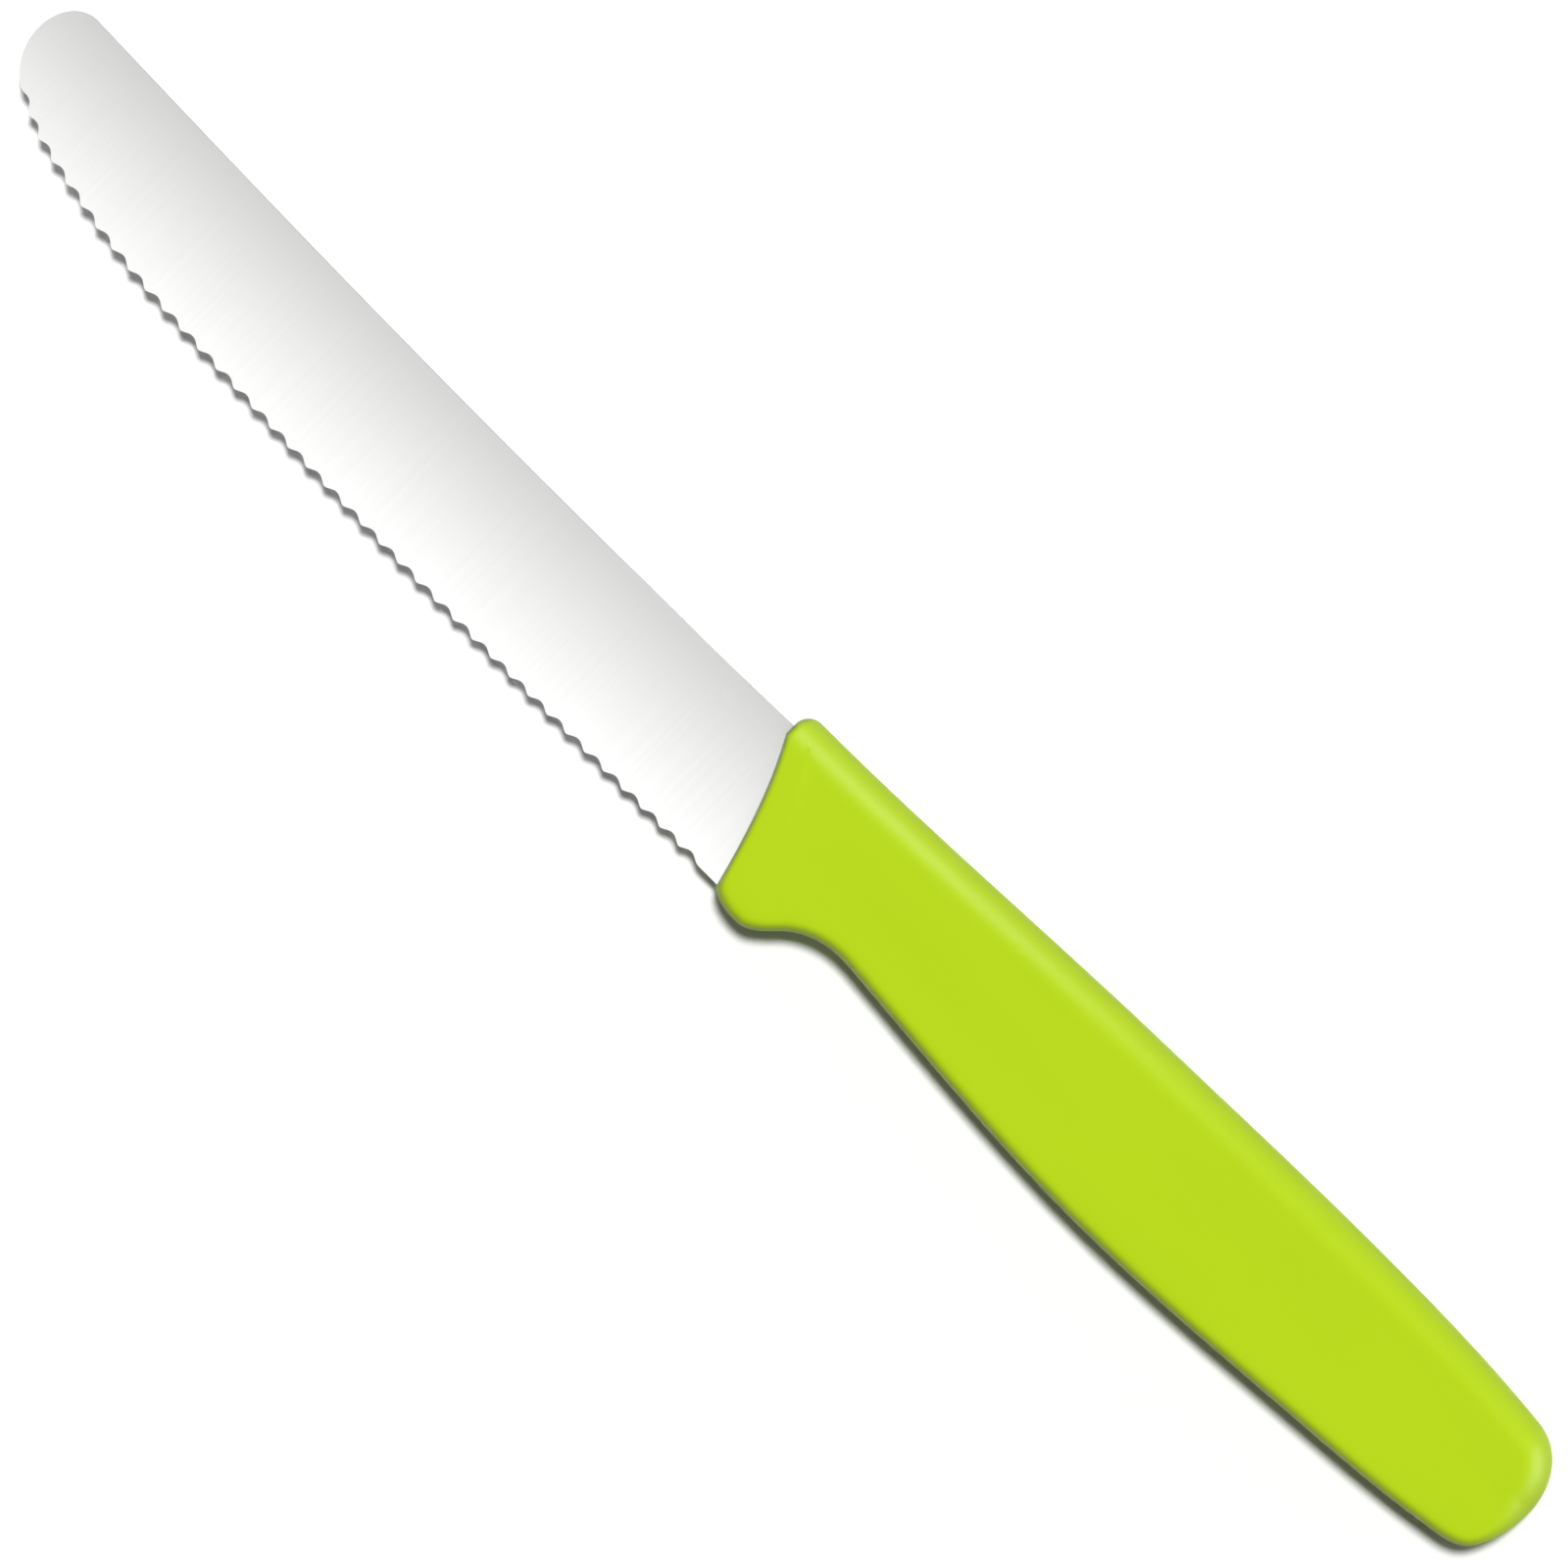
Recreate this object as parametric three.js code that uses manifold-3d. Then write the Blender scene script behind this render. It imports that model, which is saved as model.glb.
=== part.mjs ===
// A serrated utility knife: a stamped steel blade with a hidden tang, and a plastic handle moulded round it.
// Sizes are in millimetres and degrees. The knife lies on its flank, with +X from the tip to the butt,
// +Y from the cutting edge to the spine and +Z up. The origin is under the middle of the knife.
import * as THREE from "three";
import { mergeVertices } from "three/addons/utils/BufferGeometryUtils.js";
import Module from "manifold-3d";

const wasm = await Module();
wasm.setup();

// Blade. A reach or a run starts at the front face of the handle, a height or a depth at the axis.
const BLADE_REACH = 104.85; // tip
const SPINE_HEIGHT = 5.05; // spine where it enters the handle
const SPINE_DIP = 0.8; // sag of the spine half way along
const EDGE_DEPTH = 12.1; // tips of the teeth at the heel
const STOCK = 1.2; // steel at the spine and in the tang
const EDGE_THICKNESS = 0.5; // steel left by the taper grind at the heel's edge
const TIP_SPINE_BACK = 3.9; // end of the spine, behind the tip
const TIP_SPINE_RISE = 0.52; // end of the spine, above its height at the handle
const NOSE_HEIGHT = 0.9; // foremost point of the tip
const EDGE_START_BACK = 2.2; // first tooth, behind the tip
const EDGE_START_RISE = 8; // first tooth, above the edge at the heel
const EDGE_START_SLOPE = 41;
const EDGE_CURVE_BACK = 16; // where most of the edge's curve is done
const EDGE_CURVE_RISE = 3.07;
const EDGE_CURVE_SLOPE = 11.6;
const EDGE_LEVEL_BACK = 42; // where the edge is nearly level
const EDGE_LEVEL_RISE = 0.84;
const EDGE_LEVEL_SLOPE = 2.74;
const TOOTH_PITCH = 2.71;
const TOOTH_DEPTH = 0.58; // from the tips of the teeth to the gullets
const TOOTH_POWER = 0.75; // form of the teeth: 1 is an even wave, less makes them slimmer than the gullets
const SCALLOP_ANGLE = 22; // between the ground scallops and the flat of the blade
const HEEL_PLAIN = 2.95; // edge without teeth in front of the handle
const RUN_OUT = 1.6; // length in which the scallops run out past the first and the last tooth

// Tang, inside the handle.
const TANG_END_COVER = 37.8; // plastic behind the tang
const TANG_COVER = 3; // plastic above and below the tang where the handle is slimmest
const TANG_ROUND = 3; // corners at the end of the tang
const SPINE_RUN = 6; // full height of the blade, at the spine
const SPINE_STEP_LENGTH = 5; // step from the spine down to the tang
const HEEL_LENGTH = 0.4; // straight edge inside the handle
const HEEL_ROUND = 1.8; // corner of the heel, and the corner between heel and tang
const HOLE_COUNT = 3;
const HOLE_DIAMETER = 5;
const HOLE_SETBACK = 12; // first and last hole, in from the ends of the tang

// Handle.
const HANDLE_LENGTH = 109.8; // front face to butt
const HANDLE_THICKNESS = 12;
const PARTING_LAND = 0.6; // half of the straight wall at the parting plane, where the rounding ends
const ROUND_BACK = 3.9; // width of the rounded edge on the flank, along the back
const ROUND_BUTT = 3.4;
const ROUND_UNDER = 1.9; // along the underside, from the lip to the lower corner of the butt
const BACK_POWER = 2; // section of the rounded edge at the back and the butt, an ellipse
const UNDER_POWER = 4; // section along the underside, closer to a square corner
const SHOULDER_WALL = 2; // plastic above the spine
const FRONT_ROUND = 1.9; // upper corner of the front face
const FRONT_UPRIGHT = 1.35; // upright stretch under that corner
const FRONT_LEAN = 29.5; // lean of the front face below that stretch
const FRONT_FOOT_LEAN = 14.5; // lean of the front face at the edge of the blade
const LIP_FRONT_RUN = 6; // where the edge of the blade enters the handle
const LIP_FRONT_SLOPE = 37;
const LIP_WEB = 0.1; // plastic under the heel of the blade
const LIP_LENGTH = 3.8; // bottom of the lip, behind the entry of the edge
const LIP_DROP = 1.32; // bottom of the lip, below the edge
const LIP_REAR_LENGTH = 3.9; // steepest point of the lip's rear, behind its bottom
const LIP_REAR_RISE = 2.4;
const LIP_REAR_SLOPE = 46;
const REST_LENGTH = 7.5; // finger rest, behind that point
const REST_RISE = 4.9; // finger rest, above the bottom of the lip
const REST_SLOPE = 4.6;
const BELLY_LENGTH = 34.3; // lowest point of the grip, behind the finger rest
const BELLY_DROP = 2.12; // lowest point of the grip, below the finger rest
const GRIP_BACK = 23.8; // straight stretch of the underside, ahead of the butt
const GRIP_RISE = 1.7; // and above the lowest point of the grip, as are the next two
const GRIP_SLOPE = 4.4;
const BUTT_UNDER_BACK = 7.2;
const BUTT_UNDER_RISE = 3.38;
const BUTT_UNDER_SLOPE = 9;
const BUTT_LOW_BACK = 1.9;
const BUTT_LOW_RISE = 5.31;
const BUTT_LOW_SLOPE = 53;
const BUTT_HEIGHT = 1.2; // rearmost point
const BUTT_TOP_BACK = 5.7;
const BUTT_TOP_DROP = 0.96; // below the highest point of the back
const BUTT_TOP_SLOPE = 6;
const CREST_BACK = 29.8; // highest point of the back, ahead of the butt
const CREST_RISE = 2.29; // highest point of the back, above the shoulder
const BACK_RUN = 50; // gentle stretch of the back, behind the front face
const BACK_RISE = 1.67; // and above the shoulder
const BACK_SLOPE = 1.35;
const MOULD_GAP = 0.2; // clearance between steel and plastic

// Smoothness of the solids.
const CURVE_STEPS = 12;
const ROUND_STEPS = 5;
const HOLE_SIDES = 32;
const TOOTH_STEPS = 12;
const SPARE = 10; // how far cutters and cut ends reach past what they cut
const NEAR = 1e-5; // lengths and angles under this count as none

// Places that several outlines share.
const shoulderHeight = SPINE_HEIGHT + SHOULDER_WALL;
const crestHeight = shoulderHeight + CREST_RISE;
const lipFrontDepth = EDGE_DEPTH + MOULD_GAP + LIP_WEB;
const lipDepth = EDGE_DEPTH + LIP_DROP;
const restDepth = lipDepth - REST_RISE;
const bellyDepth = restDepth + BELLY_DROP;
const lipRun = LIP_FRONT_RUN + LIP_LENGTH;
const lipRearRun = lipRun + LIP_REAR_LENGTH;
const restRun = lipRearRun + REST_LENGTH;
const tangTop = shoulderHeight - TANG_COVER;
const tangBottom = TANG_COVER - restDepth;
const tangEnd = HANDLE_LENGTH - TANG_END_COVER;
const tangRound = Math.min(TANG_ROUND, (tangTop - tangBottom) / 2);
const heelRound = Math.min(HEEL_ROUND, (EDGE_DEPTH + tangBottom) / 2);
const heelRun = LIP_FRONT_RUN + HEEL_LENGTH + heelRound;
const tangStart = heelRun + heelRound;

// The edges of a body: how far the rounding reaches onto the flank, and the power of its superellipse.
const plainEdge = { round: 0, power: BACK_POWER };
const backEdge = { round: ROUND_BACK, power: BACK_POWER };
const buttEdge = { round: ROUND_BUTT, power: BACK_POWER };
const underEdge = { round: ROUND_UNDER, power: UNDER_POWER };

// A point of an outline, with the direction in degrees in which the outline passes it and its edge.
function knot(x, y, degrees, edge = plainEdge) {
  return { point: new THREE.Vector2(x, y), heading: THREE.MathUtils.degToRad(degrees), edge };
}

// A point that an outline passes with a corner, between straight lines.
function corner(x, y, edge = plainEdge) {
  return { point: new THREE.Vector2(x, y), heading: null, edge };
}

function polar(length, heading) {
  return new THREE.Vector2(length * Math.cos(heading), length * Math.sin(heading));
}

// Continues a path from one knot to the next, straight at a corner and otherwise much like an arc.
function flow(path, from, to) {
  const chord = to.point.clone().sub(from.point);
  if (chord.length() < NEAR) {
    return;
  }
  const isCorner = from.heading === null || to.heading === null;
  const turn = isCorner ? 0 : Math.acos(Math.cos(to.heading - from.heading));
  const swerve = isCorner ? 0 : Math.sin(chord.angle() - from.heading);
  if (turn < NEAR && Math.abs(swerve) < NEAR) {
    path.lineTo(to.point.x, to.point.y);
    return;
  }
  const reach = chord.length() / (3 * Math.cos(turn / 4) ** 2);
  const first = from.point.clone().add(polar(reach, from.heading));
  const second = to.point.clone().sub(polar(reach, to.heading));
  path.bezierCurveTo(first.x, first.y, second.x, second.y, to.point.x, to.point.y);
}

function openPath(knots) {
  const path = new THREE.Path();
  path.moveTo(knots[0].point.x, knots[0].point.y);
  knots.slice(1).forEach((to, index) => flow(path, knots[index], to));
  return path;
}

function closedShape(knots) {
  const shape = new THREE.Shape();
  shape.moveTo(knots[0].point.x, knots[0].point.y);
  knots.forEach((from, index) => flow(shape, from, knots[(index + 1) % knots.length]));
  return shape;
}

function solidOf(geometry) {
  geometry.deleteAttribute("normal");
  geometry.deleteAttribute("uv");
  const merged = mergeVertices(geometry, NEAR);
  const vertProperties = new Float32Array(merged.attributes.position.array);
  const triVerts = new Uint32Array(merged.index.array);
  return new wasm.Manifold(new wasm.Mesh({ numProp: 3, vertProperties, triVerts }));
}

function meshOf(name, solid, material) {
  const { vertProperties, triVerts } = solid.getMesh();
  const geometry = new THREE.BufferGeometry();
  geometry.setAttribute("position", new THREE.BufferAttribute(vertProperties, 3));
  geometry.setIndex(new THREE.BufferAttribute(triVerts, 1));
  geometry.computeVertexNormals();
  const mesh = new THREE.Mesh(geometry, material);
  mesh.name = name;
  return mesh;
}

// A plate of the given shape, half above and half below the parting plane, grown by a clearance all round.
function plate(shape, thickness, grow = 0) {
  const geometry = new THREE.ExtrudeGeometry(shape, {
    depth: thickness + 2 * grow,
    bevelEnabled: true,
    bevelSegments: 0,
    bevelThickness: 0,
    bevelSize: grow,
    curveSegments: CURVE_STEPS,
  });
  geometry.translate(0, 0, -thickness / 2 - grow);
  return solidOf(geometry);
}

// A closed body through rings of equally many points, with flat ends that are cut into the given triangles.
function lofted(rings, ends = [[0, 1, 2], [0, 2, 3]]) {
  const count = rings[0].length;
  const last = (rings.length - 1) * count;
  const triangles = [];
  for (let ring = 0; ring < last; ring += count) {
    for (let index = 0; index < count; index += 1) {
      const low = ring + index;
      const lowNext = ring + ((index + 1) % count);
      triangles.push(low, lowNext, lowNext + count, low, lowNext + count, low + count);
    }
  }
  ends.forEach(([a, b, c]) => triangles.push(last + a, last + b, last + c, c, b, a));
  const geometry = new THREE.BufferGeometry().setFromPoints(rings.flat());
  geometry.setIndex(triangles);
  return solidOf(geometry);
}

// The edge of the blade through the tips of its teeth, from the first tooth at the tip to the handle.
const edgeKnots = [
  knot(EDGE_START_BACK - BLADE_REACH, EDGE_START_RISE - EDGE_DEPTH, -EDGE_START_SLOPE),
  knot(EDGE_CURVE_BACK - BLADE_REACH, EDGE_CURVE_RISE - EDGE_DEPTH, -EDGE_CURVE_SLOPE),
  knot(EDGE_LEVEL_BACK - BLADE_REACH, EDGE_LEVEL_RISE - EDGE_DEPTH, -EDGE_LEVEL_SLOPE),
  knot(LIP_FRONT_RUN, -EDGE_DEPTH, 0),
];

// The blank as it is stamped: tang, spine, tip, edge and heel.
function blankShape() {
  const spineSlope = THREE.MathUtils.radToDeg(Math.atan((4 * SPINE_DIP) / BLADE_REACH));
  return closedShape([
    knot(tangEnd - tangRound, tangTop, 180),
    knot(SPINE_RUN + SPINE_STEP_LENGTH, tangTop, 180),
    knot(SPINE_RUN, SPINE_HEIGHT, 180),
    knot(0, SPINE_HEIGHT, 180 + spineSlope),
    knot(TIP_SPINE_BACK - BLADE_REACH, SPINE_HEIGHT + TIP_SPINE_RISE, 180 - spineSlope),
    knot(-BLADE_REACH, NOSE_HEIGHT, 270),
    ...edgeKnots,
    knot(heelRun - heelRound, -EDGE_DEPTH, 0),
    knot(heelRun, heelRound - EDGE_DEPTH, 90),
    knot(heelRun, tangBottom - heelRound, 90),
    knot(tangStart, tangBottom, 0),
    knot(tangEnd - tangRound, tangBottom, 0),
    knot(tangEnd, tangBottom + tangRound, 90),
    knot(tangEnd, tangTop - tangRound, 90),
  ]);
}

// Half of the steel's thickness at a height of the ground blade.
function halfSteel(y) {
  const share = (SPINE_HEIGHT - y) / (SPINE_HEIGHT + EDGE_DEPTH);
  return STOCK / 2 - (share * (STOCK - EDGE_THICKNESS)) / 2;
}

// What the taper grind takes off the upper face, from the spine down past the edge.
function taperCut(grow) {
  const low = -EDGE_DEPTH - SPARE;
  const section = new THREE.Shape();
  section.moveTo(SPINE_HEIGHT, halfSteel(SPINE_HEIGHT) + grow);
  section.lineTo(low, halfSteel(low) + grow);
  section.lineTo(low, STOCK + SPARE);
  const tip = BLADE_REACH + SPARE;
  const geometry = new THREE.ExtrudeGeometry(section, { depth: tip + tangStart, bevelEnabled: false });
  geometry.translate(0, 0, -tip);
  const alongX = new THREE.Matrix4().makeBasis(
    new THREE.Vector3(0, 1, 0),
    new THREE.Vector3(0, 0, 1),
    new THREE.Vector3(1, 0, 0),
  );
  return solidOf(geometry.applyMatrix4(alongX));
}

// The steel without its holes and teeth. Grown by a clearance, it is the room that it takes in the handle.
function groundSteel(grow = 0) {
  const cut = taperCut(grow);
  return plate(blankShape(), STOCK, grow).subtract(cut).subtract(cut.mirror([0, 0, 1]));
}

// Rods through the holes of the tang, which cut the holes or fill them.
function tangRods(diameter, length) {
  const rods = [];
  for (let index = 0; index < HOLE_COUNT; index += 1) {
    const share = index / (HOLE_COUNT - 1);
    const x = THREE.MathUtils.lerp(tangStart + HOLE_SETBACK, tangEnd - HOLE_SETBACK, share);
    const rod = new THREE.CylinderGeometry(diameter / 2, diameter / 2, length, HOLE_SIDES);
    rod.rotateX(Math.PI / 2);
    rod.translate(x, (tangTop + tangBottom) / 2, 0);
    rods.push(solidOf(rod));
  }
  return rods.reduce((all, rod) => all.add(rod));
}

// How far in from the line of the tips the scallops are ground, at a length along the edge from the handle.
// Past the first and the last tooth the wheel is lifted off the steel.
function gulletDepth(fromHandle, count) {
  const turns = (fromHandle - HEEL_PLAIN) / TOOTH_PITCH;
  const onTeeth = THREE.MathUtils.clamp(turns, 0, count);
  const past = ((turns - onTeeth) * TOOTH_PITCH) / RUN_OUT;
  const wave = 0.5 - 0.5 * Math.cos(2 * Math.PI * onTeeth);
  return TOOTH_DEPTH * wave ** TOOTH_POWER - past ** 2 * RUN_OUT;
}

// What the grinding wheel takes off along the edge, slanted so that only the lower face has scallops.
function scallopCut() {
  const edge = openPath(edgeKnots);
  const length = edge.getLength();
  const count = Math.floor((length - HEEL_PLAIN) / TOOTH_PITCH);
  const angle = THREE.MathUtils.degToRad(SCALLOP_ANGLE);
  const step = TOOTH_PITCH / TOOTH_STEPS;
  const lead = Math.ceil(RUN_OUT / step);
  const rings = [];
  for (let index = -lead; index <= count * TOOTH_STEPS + lead; index += 1) {
    const fromHandle = HEEL_PLAIN + index * step;
    const along = Math.max(0, 1 - fromHandle / length);
    const tangent = edge.getTangent(along);
    const inward = new THREE.Vector3(-tangent.y, tangent.x, 0);
    const tip = edge.getPoint(along).addScaledVector(tangent, Math.min(0, length - fromHandle));
    const ground = new THREE.Vector3(tip.x, tip.y, 0).addScaledVector(inward, gulletDepth(fromHandle, count));
    ground.z = halfSteel(ground.y);
    const slant = inward.clone().multiplyScalar(Math.cos(angle)).setZ(-Math.sin(angle));
    const inner = ground.clone().addScaledVector(slant, SPARE / 2);
    const outer = ground.clone().addScaledVector(slant, -SPARE / 2);
    rings.unshift([inner, outer, outer.clone().setZ(-SPARE), inner.clone().setZ(-SPARE)]);
  }
  return lofted(rings);
}

// What is cut off in front of the front face, from its upper corner to where the edge of the blade enters.
function frontShape() {
  const uprightEnd = shoulderHeight - FRONT_ROUND - FRONT_UPRIGHT;
  return closedShape([
    knot(FRONT_ROUND, shoulderHeight, 180),
    knot(0, shoulderHeight - FRONT_ROUND, 270),
    knot(0, uprightEnd, 270),
    knot(0, uprightEnd, 270 + FRONT_LEAN),
    knot(LIP_FRONT_RUN, -lipFrontDepth, 270 + FRONT_FOOT_LEAN),
    corner(LIP_FRONT_RUN, -lipFrontDepth - SPARE),
    corner(-2 * SPARE, -lipFrontDepth - SPARE),
    corner(-2 * SPARE, shoulderHeight + SPARE),
    corner(FRONT_ROUND, shoulderHeight + SPARE),
  ]);
}

// The outline of the handle's sides, carried on past the front face so that its rounding is cut off there.
function sideKnots() {
  const underRun = HANDLE_LENGTH - BUTT_UNDER_BACK;
  const frontSlope = 180 - LIP_FRONT_SLOPE;
  const beyond = polar(SPARE, THREE.MathUtils.degToRad(frontSlope));
  return [
    knot(FRONT_ROUND, shoulderHeight, 0, backEdge),
    knot(BACK_RUN, shoulderHeight + BACK_RISE, BACK_SLOPE, backEdge),
    knot(HANDLE_LENGTH - CREST_BACK, crestHeight, 0, backEdge),
    knot(HANDLE_LENGTH - BUTT_TOP_BACK, crestHeight - BUTT_TOP_DROP, -BUTT_TOP_SLOPE, buttEdge),
    knot(HANDLE_LENGTH, BUTT_HEIGHT, -90, buttEdge),
    knot(HANDLE_LENGTH - BUTT_LOW_BACK, BUTT_LOW_RISE - bellyDepth, 180 + BUTT_LOW_SLOPE, underEdge),
    knot(underRun, BUTT_UNDER_RISE - bellyDepth, 180 + BUTT_UNDER_SLOPE, underEdge),
    knot(HANDLE_LENGTH - GRIP_BACK, GRIP_RISE - bellyDepth, 180 + GRIP_SLOPE, underEdge),
    knot(restRun + BELLY_LENGTH, -bellyDepth, 180, underEdge),
    knot(restRun, -restDepth, 180 - REST_SLOPE, underEdge),
    knot(lipRearRun, LIP_REAR_RISE - lipDepth, 180 + LIP_REAR_SLOPE, underEdge),
    knot(lipRun, -lipDepth, 180, underEdge),
    knot(LIP_FRONT_RUN, -lipFrontDepth, frontSlope, underEdge),
    corner(LIP_FRONT_RUN + beyond.x, beyond.y - lipFrontDepth, underEdge),
    corner(-SPARE, beyond.y - lipFrontDepth, underEdge),
    corner(-SPARE, shoulderHeight, backEdge),
  ];
}

// Points along a closed outline, anticlockwise, each with its edge and the direction inwards.
function contourOf(knots) {
  const contour = [];
  knots.forEach((from, index) => {
    const to = knots[(index + 1) % knots.length];
    const points = openPath([from, to]).getPoints(CURVE_STEPS).slice(0, -1);
    points.forEach((point, step) => {
      const share = step / points.length;
      const round = THREE.MathUtils.lerp(from.edge.round, to.edge.round, share);
      const power = THREE.MathUtils.lerp(from.edge.power, to.edge.power, share);
      contour.push({ point, round, power });
    });
  });
  contour.reverse();
  contour.forEach((station, index) => {
    const before = contour.at(index - 1).point;
    const after = contour[(index + 1) % contour.length].point;
    const along = after.clone().sub(before).normalize();
    station.inward = new THREE.Vector2(-along.y, along.x);
  });
  return contour;
}

// A body with flat, parallel flanks, whose edges are rounded off from the flanks to the parting plane.
function roundedBody(knots) {
  const contour = contourOf(knots);
  const deep = HANDLE_THICKNESS / 2 - PARTING_LAND;
  const rings = [];
  for (let step = 0; step <= ROUND_STEPS; step += 1) {
    const angle = (step / ROUND_STEPS) * (Math.PI / 2);
    const ring = contour.map(({ point, inward, round, power }) => {
      const inset = round * (1 - Math.cos(angle) ** (2 / power));
      const { x, y } = point.clone().addScaledVector(inward, inset);
      return new THREE.Vector3(x, y, PARTING_LAND + deep * Math.sin(angle) ** (2 / power));
    });
    rings.push(ring);
    rings.unshift(ring.map(({ x, y, z }) => new THREE.Vector3(x, y, -z)));
  }
  return lofted(rings, THREE.ShapeUtils.triangulateShape(rings.at(-1), []));
}

const steel = new THREE.MeshStandardMaterial({ color: 0xdcdcda, roughness: 0.35, metalness: 1 });
const limePlastic = new THREE.MeshStandardMaterial({ color: 0xbada21, roughness: 0.45, metalness: 0 });

const bladeSolid = groundSteel()
  .subtract(tangRods(HOLE_DIAMETER, STOCK + SPARE))
  .subtract(scallopCut());
const handleSolid = roundedBody(sideKnots())
  .subtract(plate(frontShape(), HANDLE_THICKNESS + SPARE))
  .subtract(groundSteel(MOULD_GAP))
  .add(tangRods(HOLE_DIAMETER - 2 * MOULD_GAP, (STOCK + HANDLE_THICKNESS) / 2));

const knife = new THREE.Group();
knife.add(meshOf("blade", bladeSolid, steel));
knife.add(meshOf("handle", handleSolid, limePlastic));

const box = new THREE.Box3().setFromObject(knife);
const middle = box.getCenter(new THREE.Vector3());
knife.position.set(-middle.x, -middle.y, -box.min.z);

export default knife;
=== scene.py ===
"""The looks of a serrated utility knife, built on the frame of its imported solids.

The blade is ground from a stamped steel blank, and the handle is a moulding of lime-green plastic round its
tang. Sizes are in millimetres and degrees. They run along the knife from the front face of the handle, across
it from the knife's axis and up from the parting plane of the handle. Meshes are in metres, as the solids are.
"""

import logging
import math
from dataclasses import astuple, dataclass, field
from enum import Enum
from typing import Any

import bmesh
import bpy
import numpy as np
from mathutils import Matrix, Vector

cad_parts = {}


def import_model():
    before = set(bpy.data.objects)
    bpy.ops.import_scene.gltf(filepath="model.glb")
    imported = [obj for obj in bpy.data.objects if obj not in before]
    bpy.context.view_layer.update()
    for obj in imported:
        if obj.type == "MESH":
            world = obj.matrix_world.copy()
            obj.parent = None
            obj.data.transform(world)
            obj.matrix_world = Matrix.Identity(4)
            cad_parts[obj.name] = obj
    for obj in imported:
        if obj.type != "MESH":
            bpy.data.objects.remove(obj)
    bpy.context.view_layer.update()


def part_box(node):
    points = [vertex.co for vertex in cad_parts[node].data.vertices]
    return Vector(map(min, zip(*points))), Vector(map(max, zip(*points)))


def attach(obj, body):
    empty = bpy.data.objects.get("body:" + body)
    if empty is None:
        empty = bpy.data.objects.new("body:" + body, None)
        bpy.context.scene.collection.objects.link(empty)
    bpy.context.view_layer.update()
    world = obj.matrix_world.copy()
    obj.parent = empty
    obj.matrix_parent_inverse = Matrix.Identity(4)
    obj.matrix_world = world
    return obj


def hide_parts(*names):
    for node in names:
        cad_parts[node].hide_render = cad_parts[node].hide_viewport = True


logging.basicConfig(level=logging.INFO, format="%(message)s")
LOG = logging.getLogger("knife")

METRES = 0.001
# Corners that are closer than this many metres are one corner.
SLIVER = 5e-7
# A length in millimetres that keeps a division from failing and can't be seen.
TINY = 1e-6
# How many times finer than its even steps a line is sampled first, and the largest turn in degrees then.
FINER = 8
FINE_TURN = 1.0
Triple = tuple[float, float, float]
Color = Triple
Band = tuple[float, float, float, float]
WHITE: Color = (1.0, 1.0, 1.0)


class Side(Enum):
    """The two long sides of the blade, with the turn from the way along it to the way out of it."""

    SPINE = 1
    EDGE = -1


@dataclass(frozen=True)
class Edge:
    """The rounded edge of a moulding: its width on the flank, and the power of its superellipse."""

    width: float = 0.0
    power: float = 2.0


@dataclass(frozen=True)
class Knot:
    """A point that an outline passes, with its heading and the moulding's edge there."""

    x: float
    y: float
    heading: float
    edge: Edge = Edge()

    def ahead(self, reach: float) -> np.ndarray:
        """Gives the point that lies a reach ahead along the heading."""
        angle = math.radians(self.heading)
        return np.array([self.x + reach * math.cos(angle), self.y + reach * math.sin(angle)])

    def span_to(self, end: "Knot") -> float:
        """Gives the straight distance to another knot."""
        return math.hypot(end.x - self.x, end.y - self.y)

    def turn_to(self, end: "Knot") -> float:
        """Gives the angle in radians between this heading and another knot's."""
        return math.acos(math.cos(math.radians(end.heading - self.heading)))


def curve_between(start: Knot, end: Knot, steps: int) -> np.ndarray:
    """Samples the curve from one knot to the next, which is close to an arc.

    Args:
        start: Where the curve begins.
        end: Where it ends.
        steps: How many steps it is sampled in.

    Returns:
        The points, one a row, with both ends.
    """
    reach = start.span_to(end) / (3 * math.cos(start.turn_to(end) / 4) ** 2)
    hull = np.array([start.ahead(0), start.ahead(reach), end.ahead(-reach), end.ahead(0)])
    share = np.linspace(0, 1, steps + 1)[:, None]
    rest = 1 - share
    return np.hstack([rest**3, 3 * share * rest**2, 3 * share**2 * rest, share**3]) @ hull


def trace(knots: list[Knot], spacing: float, turn_step: float = 4.0) -> tuple[np.ndarray, np.ndarray]:
    """Samples the line through some knots.

    Args:
        knots: The knots in their order.
        spacing: The longest step along the line.
        turn_step: The largest turn in one step, in degrees.

    Returns:
        The points, one a row, and the width and the power of the edge at each of them.
    """
    points = [knots[0].ahead(0)[None]]
    edges = [np.array([astuple(knots[0].edge)])]
    for start, end in zip(knots, knots[1:]):
        by_length = start.span_to(end) / spacing
        by_turn = math.degrees(start.turn_to(end)) / turn_step
        steps = math.ceil(max(by_length, by_turn)) if by_length > 0 else 0
        if steps:
            points.append(curve_between(start, end, steps)[1:])
            edges.append(np.linspace(astuple(start.edge), astuple(end.edge), steps + 1)[1:])
    return np.vstack(points), np.vstack(edges)


def lengths_along(points: np.ndarray) -> np.ndarray:
    """Gives the length of a line of points up to each of them."""
    return np.concatenate([[0.0], np.cumsum(np.linalg.norm(np.diff(points, axis=0), axis=1))])


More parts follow.
